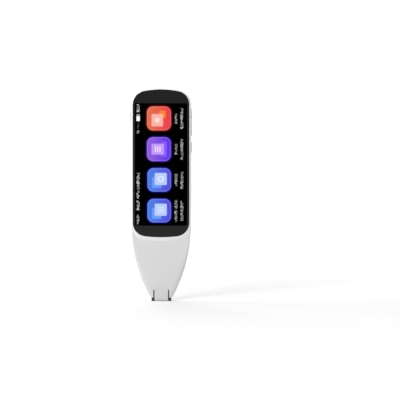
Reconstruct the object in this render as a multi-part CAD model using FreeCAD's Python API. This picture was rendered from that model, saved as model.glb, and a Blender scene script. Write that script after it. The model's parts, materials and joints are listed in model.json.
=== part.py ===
import FreeCAD, Part
import math
import os

from FreeCAD import Vector

# Handheld translator: a flat pen with a long screen, a pressed-in reading nib, side keys,
# a rear camera and a loudspeaker. Millimetres. While modelling, z is the height above the
# nib's end, +X is the right side of the screen and -Y is the way the screen faces.
# Each finished piece is moved down so that the origin lies in the hand's grip.

grip_height = 40.0

# Casing
half_width = 19.75
top_height = 140.5
front_face_y = -6.6
rear_face_y = 6.6
wall = 1.5
taper_start = 50.0
taper_radius = 97.0
top_crown = 60.0
top_corner = 9.2
top_flat = 0.05
rear_crown = 110.0
rear_edge_radius = 5.5
rear_edge_at_nib = 3.0
inner_bevel_share = 0.6
front_edge_radius = 0.4
chin_edge_radius = 3.4
chin_edge_share = 0.3
chin_edge_growth = 1.6
chin_drop = 2.7
nib_rear_drop = 1.8
casing_end = 2.4
tip_round = 2.5
parting_y = -3.0
parting_nib_y = 0.6
lip_depth = 0.7
lip_thickness = 0.65
lip_root = 0.3
fit_gap = 0.1
cavity_end = 8.0
lip_end = 16.0

# Cover glass and the rim round it
glass_side = 1.15
glass_low = 42.6
glass_top_gap = 0.5
glass_crown = 60.0
glass_low_crown = 90.0
glass_corner = 9.0
glass_thickness = 0.8
glass_chamfer = 0.2
glass_bond = 0.2
bond_margin = 0.3
bond_low_margin = 2.4
bond_high_margin = 3.0
bond_corner = 5.0
rim_height = 1.0
rim_low_width = 2.6
rim_corner = 10.0
rim_step = 0.12
rim_land = 0.15

# Display
display_border = 0.9
display_low_border = 5.0
display_high_border = 7.4
display_thickness = 1.6
display_air = 0.05
display_gap = 0.2
display_low_corner = 2.5
driver_ledge_depth = 1.0
driver_ledge_length = 2.2

# Chassis and its screws
chassis_below_display = 2.6
chassis_thickness = 0.8
chassis_low_corner = 6.0
chassis_gap = 0.3
chassis_window_width = 20.0
chassis_window_low = 8.0
chassis_window_high = 11.5
flange_setback = 4.45
flange_thickness = 0.8
flange_depth = 4.2
flange_past_keys = 2.2
screw_radius = 0.6
screw_head_radius = 1.1
screw_head_height = 0.6
screw_depth = 1.1
screw_hole_gap = 0.15
screw_bite_gap = 0.05
low_screw_setback = 6.75
low_screw_rise = 1.3
high_screw_setback = 3.35
high_screw_from_top = 5.9

# Side keys
key_y = -0.8
key_width = 2.2
key_gap = 0.15
key_chamfer = 0.25
rocker_from_top = 12.6
rocker_length = 18.0
rocker_proud = 0.5
rocker_tilt = 2.0
rocker_arm = 7.2
rocker_play = 0.12
power_from_top = 34.9
power_length = 7.2
power_proud = 0.5
side_key_from_top = 15.3
side_key_length = 6.5
side_key_proud = 1.0
key_travel = 0.35
key_flange_thickness = 0.6
key_flange_overhang = 0.4
key_flange_gap = 0.1
nub_half = 0.65
switch_length = 3.4
switch_depth = 3.0
switch_height = 1.0
switch_plunger = 0.43
switch_plunger_radius = 0.8
switch_air = 0.1
key_flex_thickness = 0.2
key_flex_width = 3.4
key_flex_end = 1.0
key_flex_air = 0.05

# Rear camera
island_from_top = 7.45
island_width = 19.8
island_length = 11.9
island_corner = 4.9
island_rise = 1.2
bezel_wall = 1.2
bezel_seat = 0.7
bezel_depth = 3.8
bezel_chamfer = 0.4
window_thickness = 0.7
window_recess = 0.15
window_seat_air = 0.05
lens_air = 0.3
camera_x = 4.0
camera_side = 7.8
camera_base_y = 1.6
camera_base_height = 2.3
camera_barrel_radius = 3.0
camera_eye_radius = 1.8
camera_eye_depth = 0.5
camera_flex_width = 5.0
flash_x = -4.6
flash_side = 3.6
flash_lens_radius = 1.3

# Loudspeaker and its holes
speaker_from_top = 21.2
speaker_width = 19.6
speaker_length = 11.0
speaker_thickness = 3.2
speaker_pocket_y = 4.95
speaker_pocket_gap = 0.3
cone_width = 14.0
cone_length = 7.6
cone_depth = 0.5
mesh_thickness = 0.18
mesh_margin = 0.2
mesh_air = 0.02
hole_radius = 0.55
hole_sides = 6
hole_pitch = 2.05
hole_row_gap = 2.0
hole_rows = 2
hole_track_half = 4.2

# Circuit board and what it carries
board_side_gap = 0.4
board_from_top = 3.9
board_length = 38.1
board_thickness = 0.8
board_corner = 2.0
board_lift = 0.3
can_height = 1.4
can_margin = 1.0
can_width = 11.5
can_length = 10.5
can_rise = 8.5
plug_height = 1.2
plug_length = 2.2
battery_plug_rise = 0.9
battery_plug_width = 7.0
reader_plug_rise = 4.5
camera_plug_rise = 22.1
side_plug_width = 3.5
side_plug_x = -7.25
usb_width = 8.94
usb_thickness = 3.26
usb_depth = 7.2
usb_sheet = 0.3
usb_back = 0.8
usb_tongue_width = 6.7
usb_tongue_thickness = 0.7
usb_tongue_inset = 1.0
usb_mouth_inset = 0.15
usb_gap = 0.1
display_flex_x = 9.5
display_flex_width = 6.0
flex_thickness = 0.15
flex_air = 0.05
flex_below_board = 0.9

# Microphone and aerial
mic_below_power = 8.8
mic_length = 3.6
mic_width = 2.6
mic_thickness = 1.0
mic_gap = 0.3
mic_slot_length = 2.4
mic_slot_width = 0.8
aerial_rise = 10.0
aerial_drop = 6.5
aerial_width = 2.0
aerial_thickness = 0.15
aerial_gap = 0.3

# Battery
battery_side_gap = 4.05
battery_rise = 0.4
battery_below_board = 4.0
battery_thickness = 5.8
battery_lift = 0.2
battery_edge = 1.2
guard_gap = 0.3
guard_half_width = 6.0
guard_length = 2.7
guard_y = -1.6
guard_thickness = 0.7
guard_chip_half = 2.0
guard_chip_height = 1.0
lead_radius = 0.3
lead_x = 1.4

# Vibration motor
motor_x = 9.0
motor_radius = 4.0
motor_thickness = 2.6
motor_below_rim = 1.5
motor_gap = 0.35

# Reading nib
nib_travel = 0.8
nib_gap = 0.15
nib_bond = 0.03
carrier_half_width = 6.5
carrier_front_y = -1.6
carrier_rear_y = 3.9
carrier_high = 17.0
carrier_side_wall = 1.4
carrier_wall = 0.9
carrier_corner = 0.5
foot_width = 2.0
foot_height = 2.2
ear_low = 13.5
ear_high = 15.5
ear_reach = 10.3
ear_half_depth = 1.6
ear_corner = 1.0
shelf_height = 1.85
tongue_half_width = 4.5
tongue_low = 0.7
tongue_high = 13.2
tongue_recess = 0.5
tongue_edge = 0.4
arch_high = 10.2
arch_corner = 3.6
arch_lip = 0.4
arch_slot_width = 0.65
arch_slot_high = 7.7
frame_half_width = 6.0
frame_high = 11.05
frame_corner = 2.0
frame_recess = 0.12
window_half_width = 5.15
window_low = 2.2
window_high = 10.2
window_corner = 1.6
window_bow = 0.35
window_fit = 0.05
window_sink = 0.25
light_gate_margin = 0.55
rear_mouth_half_width = 7.0
rear_mouth_high = 13.0
rear_mouth_corner = 2.2

# Nib springs, guide, switch and reading camera
spring_x = 8.4
spring_radius = 1.4
spring_wire = 0.4
spring_air = 0.05
post_radius = 0.85
post_length = 1.3
guide_low = 21.5
guide_thickness = 2.0
guide_gap = 0.3
stand_x = 6.2
stand_radius = 0.9
optic_y = 1.15
lens_radius = 3.0
lens_hole_gap = 0.2
lens_rise = 0.4
lens_length = 4.6
lens_eye_radius = 1.9
lens_eye_depth = 0.7
hood_low = 9.0
hood_wall = 0.5
hood_gap = 0.35
hood_neck = 3.4
hood_air = 0.05
sensor_half_width = 7.6
sensor_front = 3.1
sensor_rear = 2.6
sensor_thickness = 0.8
sensor_chip_half = 3.0
sensor_chip_height = 0.7
reader_flex_width = 6.0
reader_flex_bend = 6.6
reader_flex_below_battery = 4.0
reader_led_x = 5.6
reader_led_half = 0.7
reader_led_depth = 2.0
reader_led_height = 0.85
nib_switch_half = 1.8
nib_switch_height = 0.8
nib_switch_air = 0.02
nib_plunger_half = 0.6

# Finger rest on the back
rest_height = 30.6
rest_width = 13.4
rest_length = 8.0
rest_depth = 0.35

# Small inner pegs and larger inner barrels have flat sides, this many
peg_sides = 8
barrel_sides = 24

# Number of sections through the taper, for the outer face and for the inner one
outer_sections = 12
inner_sections = 5

# Sizes that follow from the ones above
outside = top_height + half_width
inner_side = half_width - wall
base_front_y = front_face_y + rim_height
glass_half_width = half_width - glass_side
glass_high = top_height - glass_top_gap
glass_back_y = front_face_y + glass_thickness
seat_y = glass_back_y + glass_bond
ledge_y = base_front_y + wall
rim_low = glass_low - rim_low_width
display_half_width = glass_half_width - display_border
display_low = glass_low + display_low_border
display_high = glass_high - display_high_border
display_front_y = glass_back_y + display_air
display_back_y = display_front_y + display_thickness
opening_half = display_half_width + display_gap
opening_low = display_low - display_gap
opening_high = display_high + display_gap
chassis_low = display_low - chassis_below_display
chassis_front_y = ledge_y + fit_gap
chassis_back_y = chassis_front_y + chassis_thickness
board_front_y = chassis_back_y + board_lift
board_back_y = board_front_y + board_thickness
board_high = top_height - board_from_top
board_low = board_high - board_length
plug_y = board_back_y + plug_height
rocker_high = top_height - rocker_from_top
rocker_low = rocker_high - rocker_length
rocker_height = (rocker_low + rocker_high) / 2
rocker_swing = math.sin(math.radians(rocker_tilt)) * rocker_arm
power_high = top_height - power_from_top
power_low = power_high - power_length
power_height = (power_low + power_high) / 2
side_key_high = top_height - side_key_from_top
side_key_low = side_key_high - side_key_length
side_key_height = (side_key_low + side_key_high) / 2
mic_height = power_low - mic_below_power
flange_inner = inner_side - flange_setback
flange_low = power_low - flange_past_keys
flange_high = rocker_high + flange_past_keys
board_half_width = flange_inner - board_side_gap
switch_root = flange_inner + flange_thickness + key_flex_thickness + 2 * key_flex_air
switch_face = switch_root + switch_height + switch_plunger
battery_half_width = inner_side - battery_side_gap
battery_low = display_low + battery_rise
battery_high = board_low - battery_below_board
battery_front_y = chassis_back_y + battery_lift
battery_back_y = battery_front_y + battery_thickness
island_height = top_height - island_from_top
bezel_rear_y = rear_face_y + island_rise
window_rear_y = bezel_rear_y - window_recess
lens_limit_y = window_rear_y - window_thickness - lens_air
speaker_height = top_height - speaker_from_top
speaker_rear_y = speaker_pocket_y - mesh_thickness - mesh_air - switch_air / 2
frame_near_y = carrier_rear_y + nib_bond
lens_low = guide_low + lens_rise
lens_high = lens_low + lens_length
sensor_high = lens_high + sensor_thickness
inner_lip = wall - lip_thickness


def box(x0, x1, y0, y1, z0, z1):
    """A block between two corners."""
    return Part.makeBox(x1 - x0, y1 - y0, z1 - z0, Vector(x0, y0, z0))


def many_sided(radius, start, direction, length, sides=peg_sides):
    """A small peg or hole with flat sides, from start along direction."""
    way = Vector(*direction)
    first = Vector(1, 0, 0) if abs(way.x) < 0.5 else Vector(0, 0, 1)
    second = way.cross(first)
    centre = Vector(*start)
    corners = []
    for step in range(sides):
        turn = 2 * math.pi * (step + 0.5) / sides
        corners.append(centre + first * (radius * math.cos(turn)) + second * (radius * math.sin(turn)))
    face = Part.Face(Part.makePolygon(corners + [corners[0]]))
    return face.extrude(way * length)


def fuse(shapes):
    """All shapes joined into one."""
    return shapes[0].multiFuse(shapes[1:]).removeSplitter()


def arc(a, b, c):
    """The arc from a to c through b."""
    return Part.Arc(a, b, c).toShape()


def line(a, b):
    """The straight edge from a to b."""
    return Part.makeLine(a, b)


def edges_along(shape, axis):
    """Straight edges of a block that run along an axis, which is x, y or z."""
    return [e for e in shape.Edges if abs(getattr(e.tangentAt(e.FirstParameter), axis)) > 0.9]


def mirror_x(shape):
    """The same piece on the other side."""
    return shape.mirror(Vector(0, 0, 0), Vector(1, 0, 0))


def crowned_corner(half, edge, crown, corner, way):
    """Side contact, middle and crown contact of the arc that joins a straight side at
    +half to a crowned end whose furthest point is edge; way is the end's direction."""
    crown_centre = edge - way * crown
    reach = math.sqrt((crown - corner) ** 2 - (half - corner) ** 2)
    corner_centre = crown_centre + way * reach
    turn = math.atan2(reach, half - corner)
    middle = (half - corner + corner * math.cos(turn / 2), corner_centre + way * corner * math.sin(turn / 2))
    contact = (half - corner + corner * math.cos(turn), corner_centre + way * corner * math.sin(turn))
    return (half, corner_centre), middle, contact


def outline(half, low, high, low_crown, high_crown, low_corner, high_corner, y):
    """Long outline in the XZ plane with crowned ends and round corners."""
    def at(point, side):
        return Vector(side * point[0], y, point[1])
    up = crowned_corner(half, high, high_crown, high_corner, 1)
    down = crowned_corner(half, low, low_crown, low_corner, -1)
    edges = [
        line(at(down[0], 1), at(up[0], 1)),
        arc(at(up[0], 1), at(up[1], 1), at(up[2], 1)),
        arc(at(up[2], 1), Vector(0, y, high), at(up[2], -1)),
        arc(at(up[2], -1), at(up[1], -1), at(up[0], -1)),
        line(at(up[0], -1), at(down[0], -1)),
        arc(at(down[0], -1), at(down[1], -1), at(down[2], -1)),
        arc(at(down[2], -1), Vector(0, y, low), at(down[2], 1)),
        arc(at(down[2], 1), at(down[1], 1), at(down[0], 1)),
    ]
    return Part.Wire(edges)


def plate(wire, depth):
    """The flat wire filled and pushed back by depth."""
    return Part.Face(wire).extrude(Vector(0, depth, 0))


def pane(cx, cz, width, length, corner, y0, y1):
    """A plate in the XZ plane with four round corners."""
    block = box(cx - width / 2, cx + width / 2, y0, y1, cz - length / 2, cz + length / 2)
    return block.makeFillet(corner, edges_along(block, "y"))


def taper_half(z):
    """Half width of the casing at height z."""
    below = max(0.0, taper_start - z)
    return half_width - (taper_radius - math.sqrt(taper_radius ** 2 - below ** 2))


def chin_y(z):
    """Front face of the casing under the glass at height z."""
    below = max(0.0, rim_low - z)
    return base_front_y + chin_drop * below / rim_low


def back_y(z):
    """Rear face of the casing at height z: it bends forward towards the nib."""
    below = max(0.0, taper_start - z)
    return rear_face_y - nib_rear_drop * (below / taper_start) ** 2


def section_heights(count):
    """Heights of the sections through the taper."""
    step = (taper_start - casing_end / 2) / (count - 1)
    return [taper_start - step * index for index in range(count)]


def outer_section(z):
    """Cross-section of the casing's outer face at height z."""
    half = taper_half(z)
    down = max(0.0, taper_start - z) / taper_start
    soft = front_edge_radius + (chin_edge_radius - front_edge_radius) * min(1.0, down * chin_edge_growth)
    soft = min(soft, chin_edge_share * half)
    round_rear = rear_edge_radius + (rear_edge_at_nib - rear_edge_radius) * down ** 2
    rear = crowned_corner(half, back_y(z), rear_crown * half / half_width, round_rear, 1)
    front = chin_y(z)
    nip = soft * (1 - math.sqrt(0.5))

    def at(x, y):
        return Vector(x, y, z)
    edges = [
        line(at(-half + soft, front), at(half - soft, front)),
        arc(at(half - soft, front), at(half - nip, front + nip), at(half, front + soft)),
        line(at(half, front + soft), at(*rear[0])),
        arc(at(*rear[0]), at(*rear[1]), at(*rear[2])),
        arc(at(*rear[2]), at(0, back_y(z)), at(-rear[2][0], rear[2][1])),
        arc(at(-rear[2][0], rear[2][1]), at(-rear[1][0], rear[1][1]), at(-rear[0][0], rear[0][1])),
        line(at(-rear[0][0], rear[0][1]), at(-half, front + soft)),
        arc(at(-half, front + soft), at(-half + nip, front + nip), at(-half + soft, front)),
    ]
    return Part.Wire(edges)


def inner_section(z, inset):
    """Cross-section at height z drawn in by inset, with bevelled rear corners."""
    side = taper_half(z) - inset
    down = max(0.0, taper_start - z) / taper_start
    bevel = inner_bevel_share * (rear_edge_radius + (rear_edge_at_nib - rear_edge_radius) * down ** 2 - inset)
    crown = rear_crown * taper_half(z) / half_width - inset
    front = chin_y(z) + inset
    back = back_y(z) - inset

    def crown_y(x):
        return back - crown + math.sqrt(crown ** 2 - x ** 2)

    def at(x, y):
        return Vector(x, y, z)
    edges = [
        line(at(-side, front), at(side, front)),
        line(at(side, front), at(side, crown_y(side) - bevel)),
        line(at(side, crown_y(side) - bevel), at(side - bevel, crown_y(side - bevel))),
        arc(at(side - bevel, crown_y(side - bevel)), at(0, back), at(bevel - side, crown_y(side - bevel))),
        line(at(bevel - side, crown_y(side - bevel)), at(-side, crown_y(side) - bevel)),
        line(at(-side, crown_y(side) - bevel), at(-side, front)),
    ]
    return Part.Wire(edges)


def upper_block(inset):
    """The straight upper part of the casing, drawn in by inset, with sharp edges."""
    block = plate(outline(half_width - inset, rim_low - top_corner, top_height - inset, top_crown, top_crown - inset,
                          top_corner, top_corner - inset, base_front_y + inset), rear_face_y - base_front_y)
    crown = rear_crown - inset
    barrel = Part.makeCylinder(crown, outside, Vector(0, rear_face_y - inset - crown, 0))
    return block.common(barrel)


def above(shape, height):
    """What lies above a height."""
    return shape.common(box(-outside, outside, -outside, outside, height, 2 * outside))


def outline_half(z, inset):
    """Half width, at height z, of the upper outline drawn in by inset."""
    half = half_width - inset
    corner = top_corner - inset
    crown = top_crown - inset
    high = top_height - inset
    side, middle, contact = crowned_corner(half, high, crown, corner, 1)
    if z <= side[1]:
        return half
    if z <= contact[1]:
        return half - corner + math.sqrt(corner ** 2 - (z - side[1]) ** 2)
    return math.sqrt(max(0.0, crown ** 2 - (z - high + crown) ** 2))


def top_section(z, place):
    """Cross-section of the outer face near the top, where sides and back close in. A ball
    of the rear edge's radius, rolled round inside the outline, leaves the rounded edge."""
    half = outline_half(z, 0)
    ball_x = outline_half(z, rear_edge_radius)
    ball_y = rear_face_y - rear_crown + math.sqrt((rear_crown - rear_edge_radius) ** 2 - ball_x ** 2)
    reach = min(rear_edge_radius * (1 - ball_x / (rear_crown - rear_edge_radius)), 0.7 * (top_height - z))
    turn = math.acos(1 - reach / rear_edge_radius)
    from_top = min(rear_edge_radius, top_height - z)
    back = rear_face_y - rear_edge_radius + math.sqrt(rear_edge_radius ** 2 - (rear_edge_radius - from_top) ** 2)
    nip = front_edge_radius / 2

    def rolled(angle):
        x = outline_half(z, rear_edge_radius * (1 - math.cos(angle)))
        return x, ball_y + rear_edge_radius * math.sin(angle)

    def at(x, y):
        return Vector(x, y, place)
    middle = rolled(turn / 2)
    contact = rolled(turn)
    face = max(outline_half(z, nip), half / 2)
    edges = [
        line(at(-face, base_front_y), at(face, base_front_y)),
        line(at(face, base_front_y), at(half, base_front_y + nip)),
        line(at(half, base_front_y + nip), at(half, ball_y)),
        arc(at(half, ball_y), at(*middle), at(*contact)),
        arc(at(*contact), at(0, back), at(-contact[0], contact[1])),
        arc(at(-contact[0], contact[1]), at(-middle[0], middle[1]), at(-half, ball_y)),
        line(at(-half, ball_y), at(-half, base_front_y + nip)),
        line(at(-half, base_front_y + nip), at(-face, base_front_y)),
    ]
    return Part.Wire(edges)


def outer_casing():
    """The whole casing as a solid, through sections from the nib to the top."""
    side, middle, contact = crowned_corner(half_width, top_height, top_crown, top_corner, 1)
    sections = [outer_section(z) for z in reversed(section_heights(outer_sections))]
    sections.append(outer_section(side[1]))
    for share in (0.4, 0.7, 0.9, 1):
        z = side[1] + share * (contact[1] - side[1])
        sections.append(top_section(z, z))
    z = (contact[1] + top_height) / 2
    sections.append(top_section(z, z))
    sections.append(top_section(top_height - top_flat, top_height))
    return Part.makeLoft(sections, True, True)


def inner_casing(inset, low):
    """The casing drawn in by inset and ended at height low, for walls, lips and fits."""
    block = upper_block(inset)
    rear = [e for e in block.Edges if e.BoundBox.YMin > rear_face_y / 2 - inset]
    block = block.makeChamfer(inner_bevel_share * (rear_edge_radius - inset), rear)
    taper = Part.makeLoft([inner_section(z, inset) for z in section_heights(inner_sections)], True, True)
    return fuse([above(block, taper_start), above(taper, low)])


def glass_outline(grow, y):
    """The cover glass's outline, made larger by grow."""
    return outline(glass_half_width + grow, glass_low - grow, glass_high + grow, glass_low_crown + grow,
                   glass_crown + grow, glass_corner + grow, glass_corner + grow, y)


def rim():
    """The raised rim round the glass: an upright skirt and a bevel up to the front face."""
    foot_args = (half_width - rim_step, rim_low, top_height - rim_step, glass_low_crown, top_crown, rim_corner,
                 top_corner - rim_step)
    skirt = plate(outline(*foot_args, base_front_y), wall / 2)
    bevel = Part.makeLoft([outline(*foot_args, base_front_y), glass_outline(fit_gap + rim_land, front_face_y)],
                          True, True)
    return fuse([skirt, bevel])


def nib_well():
    """The shaft in which the nib's carrier slides."""
    half = carrier_half_width + nib_gap
    return box(-half, half, carrier_front_y - nib_gap, carrier_rear_y + nib_gap, -casing_end, guide_low)


def tongue_profile(near, far, z0, z1):
    """Outline in the YZ plane between the chin face moved in by near and the depth far."""
    points = [
        Vector(0, chin_y(z0) + near, z0),
        Vector(0, chin_y(z1) + near, z1),
        Vector(0, far, z1),
        Vector(0, far, z0),
    ]
    return Part.Face(Part.makePolygon(points + [points[0]]))


def across(face, half):
    """A face in the YZ plane spread to both sides by half."""
    face.translate(Vector(-half, 0, 0))
    return face.extrude(Vector(2 * half, 0, 0))


def side_region(shift, far):
    """Everything between the parting surface moved back by shift and the depth far. The
    parting runs straight along the upper casing and bends back towards the nib."""
    points = [
        Vector(0, parting_y + shift, outside),
        Vector(0, parting_y + shift, taper_start),
        Vector(0, parting_nib_y + shift, casing_end),
        Vector(0, far, casing_end),
        Vector(0, far, outside),
    ]
    return across(Part.Face(Part.makePolygon(points + [points[0]])), 2 * half_width)


def tip_corner():
    """What is taken off the tip's right lower corner to round it."""
    half = taper_half(casing_end)
    slope = math.asin((taper_start - casing_end) / taper_radius)
    reach = tip_round * math.tan((math.pi / 2 - slope) / 2)
    centre = Vector(half - reach, 0, casing_end + tip_round)
    foot = Vector(half - reach, 0, casing_end)
    middle_turn = (math.pi / 2 - slope) / 2
    middle = centre + Vector(tip_round * math.sin(middle_turn), 0, -tip_round * math.cos(middle_turn))
    shoulder = Vector(half + reach * math.sin(slope), 0, casing_end + reach * math.cos(slope))
    beyond = Vector(half + tip_round, 0, shoulder.z)
    low = Vector(half + tip_round, 0, 0)
    start = Vector(half - reach, 0, 0)
    wire = Part.Wire([line(start, foot), arc(foot, middle, shoulder), line(shoulder, beyond), line(beyond, low),
                      line(low, start)])
    wire.translate(Vector(0, -half_width, 0))
    return plate(wire, 2 * half_width)


def lip_zone(solid, shift, far):
    """The part of a solid that lies on one side of the shifted parting surface."""
    return solid.common(side_region(shift, far))


def front_shell(solid, cavity):
    """Front moulding: rim, glass seat, chin and the arch over the nib's tongue."""
    shell = lip_zone(fuse([solid, rim()]), 0, -outside)
    pocket = across(tongue_profile(arch_lip, carrier_front_y, 0, tongue_high + nib_travel + lip_root),
                    tongue_half_width + nib_gap)
    half = tongue_half_width + nib_gap
    arch = pane(0, 0, 2 * half, 2 * arch_high, arch_corner, -outside, carrier_front_y)
    slot_half = half + arch_slot_width
    slots = pane(0, 0, 2 * slot_half, 2 * arch_slot_high, arch_slot_width, -outside, carrier_front_y)
    opening = cut_corners(box(-opening_half, opening_half, seat_y - glass_thickness, ledge_y + wall, opening_low,
                              opening_high))
    holes = [many_sided(screw_radius + screw_bite_gap, (x, chassis_front_y, z), (0, -1, 0),
                        chassis_front_y - ledge_y + screw_depth + 3 * screw_bite_gap) for x, z in screw_places()]
    shell = shell.cut([cavity, plate(glass_outline(fit_gap, seat_y), -outside), opening, nib_well(), pocket, arch,
                       slots, tip_corner(), mirror_x(tip_corner())] + holes)
    lip = inner_casing(inner_lip, lip_end).cut(cavity)
    lip = lip_zone(lip_zone(lip, lip_depth, -outside), -lip_root, outside)
    return fuse([shell, lip])


def screw_places():
    """Chassis screws, as x and height."""
    low = (inner_side - low_screw_setback, chassis_low + low_screw_rise)
    high = (inner_side - high_screw_setback, top_height - high_screw_from_top)
    return [(side * x, z) for x, z in (low, high) for side in (-1, 1)]


def key_slot(side, low, high, proud):
    """The slot of a side key through the wall."""
    block = box(inner_side - wall, half_width + 2 * proud, key_y - key_width / 2 - key_gap,
                key_y + key_width / 2 + key_gap, low - key_gap, high + key_gap)
    slot = block.makeFillet(key_width / 2, edges_along(block, "x"))
    return slot if side > 0 else mirror_x(slot)


def speaker_places():
    """Centres of the loudspeaker's holes: a middle row and racetracks round it."""
    places = [(hole_pitch * step, 0.0) for step in range(-2, 3)]
    for ring in range(1, hole_rows + 1):
        radius = ring * hole_row_gap
        length = 4 * hole_track_half + 2 * math.pi * radius
        count = round(length / hole_pitch / 2) * 2
        for step in range(count):
            places.append(on_track(length * (step + 0.5) / count, radius))
    return places


def on_track(run, radius):
    """The point at distance run along a racetrack of the given end radius."""
    straight = 2 * hole_track_half
    bend = math.pi * radius
    if run < straight:
        return (run - hole_track_half, radius)
    run -= straight
    if run < bend:
        angle = math.pi / 2 - run / radius
        return (hole_track_half + radius * math.cos(angle), radius * math.sin(angle))
    run -= bend
    if run < straight:
        return (hole_track_half - run, -radius)
    angle = -math.pi / 2 - (run - straight) / radius
    return (-hole_track_half + radius * math.cos(angle), radius * math.sin(angle))


def finger_rest():
    """A shallow oval dish: the outer side of a ring whose two curves give the dish its
    width and its length."""
    wide = rest_width ** 2 / 8 / rest_depth
    long = rest_length ** 2 / 8 / rest_depth
    bottom = back_y(rest_height) - rest_depth
    return Part.makeTorus(wide - long, long, Vector(0, bottom + wide, rest_height), Vector(0, 0, 1))


def usb_hole():
    """Round-ended hole for the USB-C socket in the top."""
    centre = board_back_y + usb_thickness / 2
    half = usb_width / 2 + usb_gap
    deep = usb_thickness / 2 + usb_gap
    hole = box(-half, half, centre - deep, centre + deep, top_height - top_corner, outside)
    return hole.makeFillet(usb_thickness / 2, edges_along(hole, "z"))


def rear_shell(solid, cavity):
    """Rear moulding: sides, back, loudspeaker holes, camera opening and the nib's mouth."""
    shell = lip_zone(solid, 0, outside).cut(cavity)
    rebate = lip_zone(inner_casing(inner_lip - fit_gap, lip_end - fit_gap), lip_depth + fit_gap, -outside)
    shelf = box(carrier_half_width + nib_gap * 2, half_width, optic_y - ear_half_depth, optic_y + ear_half_depth,
                ear_low - fit_gap / 2 - shelf_height, ear_low - fit_gap / 2)
    shelf = lip_zone(shelf.common(inner_casing(wall * 0.7, cavity_end)), fit_gap / 2, outside)
    half = speaker_width / 2 + speaker_pocket_gap
    low = speaker_height - speaker_length / 2 - speaker_pocket_gap
    high = speaker_height + speaker_length / 2 + speaker_pocket_gap
    pad = box(-half, half, speaker_pocket_y, speaker_pocket_y + wall / 2, low, high)
    shell = fuse([shell.cut(rebate), shelf, mirror_x(shelf), pad])
    mouth = pane(0, 0, 2 * rear_mouth_half_width, 2 * rear_mouth_high, rear_mouth_corner,
                 carrier_rear_y - carrier_wall / 2, outside)
    seat = pane(0, island_height, island_width + fit_gap, island_length + fit_gap, island_corner,
                bezel_rear_y - bezel_depth - 2 * lens_air, outside)
    chamber = box(-half, half, 0, speaker_pocket_y, low, high)
    holes = [many_sided(hole_radius, (x, speaker_pocket_y - wall, speaker_height + z), (0, 1, 0), 3 * wall, hole_sides)
             for x, z in speaker_places()]
    mic = box(-outside, -inner_side + mic_thickness, key_y - mic_slot_width / 2, key_y + mic_slot_width / 2,
              mic_height - mic_slot_length / 2, mic_height + mic_slot_length / 2)
    slots = [key_slot(1, rocker_low, rocker_high, rocker_proud), key_slot(1, power_low, power_high, power_proud),
             key_slot(-1, side_key_low, side_key_high, side_key_proud)]
    shell = shell.cut([nib_well(), mouth, seat, chamber, usb_hole(), mic, tip_corner(), mirror_x(tip_corner())] + slots)
    return shell.cut(holes).cut(finger_rest())


def cut_corners(block):
    """A display-shaped block with its two lower corners cut, clear of the glass's corners."""
    low = [e for e in edges_along(block, "y") if e.BoundBox.ZMax < block.BoundBox.Center.z]
    return block.makeChamfer(display_low_corner, low)


def cover_glass():
    """Black cover glass with a small chamfer round its face."""
    glass = plate(glass_outline(0, front_face_y), glass_thickness)
    rim_edges = [e for e in glass.Edges if e.BoundBox.YMax < front_face_y + fit_gap]
    return glass.makeChamfer(glass_chamfer, rim_edges)


def glass_adhesive():
    """Bond line between the glass and its seat."""
    half = glass_half_width - bond_margin
    sheet = box(-half, half, glass_back_y, seat_y, glass_low + bond_low_margin, glass_high - bond_high_margin)
    sheet = sheet.makeChamfer(bond_corner, edges_along(sheet, "y"))
    return sheet.cut(cut_corners(box(-opening_half, opening_half, front_face_y, ledge_y, opening_low, opening_high)))


def display_panel():
    """The display module: panel with a thinner ledge for its driver at the lower end."""
    panel = box(-display_half_width, display_half_width, display_front_y, display_back_y, display_low, display_high)
    return cut_corners(panel).cut(box(-half_width, half_width, display_back_y - driver_ledge_depth, 0, 0,
                         display_low + driver_ledge_length))


def ribbon(points, thickness, x0, x1):
    """A flat ribbon along points given as y and height."""
    near = [Vector(x0, y, z) for y, z in points]
    far = [Vector(x0, y + thickness, z) for y, z in reversed(points)]
    face = Part.Face(Part.makePolygon(near + far + [near[0]]))
    return face.extrude(Vector(x1 - x0, 0, 0))


def display_flex():
    """Ribbon from the display through the chassis to the circuit board."""
    x0 = display_flex_x - display_flex_width / 2
    x1 = display_flex_x + display_flex_width / 2
    bend_y = board_back_y + 2 * flex_air
    start = board_low - flex_below_board
    through = box(x0, x1, display_back_y + flex_air, bend_y, start, start + flex_thickness)
    over = box(x0, x1, bend_y, bend_y + flex_thickness, start, start + display_flex_width)
    return fuse([through, over])


def chassis():
    """Metal plate behind the display with side flanges that back the key switches."""
    inset = wall + chassis_gap
    body = plate(outline(half_width - inset, chassis_low, top_height - inset, top_crown, top_crown - inset,
                         chassis_low_corner, top_corner - inset, chassis_front_y), chassis_thickness)
    flange = box(flange_inner, flange_inner + flange_thickness, chassis_front_y, chassis_front_y + flange_depth,
                 flange_low, flange_high)
    body = fuse([body, flange, mirror_x(flange)])
    slot_half = display_flex_width / 2 + 2 * display_gap
    slot_low = board_low - flex_below_board - display_gap
    slot = box(display_flex_x - slot_half, display_flex_x + slot_half, -half_width, half_width, slot_low,
               slot_low + flex_thickness + 2 * display_gap)
    holes = [many_sided(screw_radius + screw_hole_gap, (x, -half_width, z), (0, 1, 0), 2 * half_width)
             for x, z in screw_places()]
    window = box(-chassis_window_width / 2, chassis_window_width / 2, -half_width, half_width,
                 chassis_low + chassis_window_low, board_low - chassis_window_high)
    return body.cut([slot, window] + holes)


def chassis_screws():
    """Four small screws that hold the chassis to the front shell."""
    screws = []
    for x, z in screw_places():
        head = many_sided(screw_head_radius, (x, chassis_back_y, z), (0, 1, 0), screw_head_height)
        shank = many_sided(screw_radius, (x, chassis_back_y, z), (0, -1, 0), chassis_back_y - ledge_y + screw_depth)
        screws.append(fuse([head, shank]))
    return Part.Compound(screws)


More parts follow.
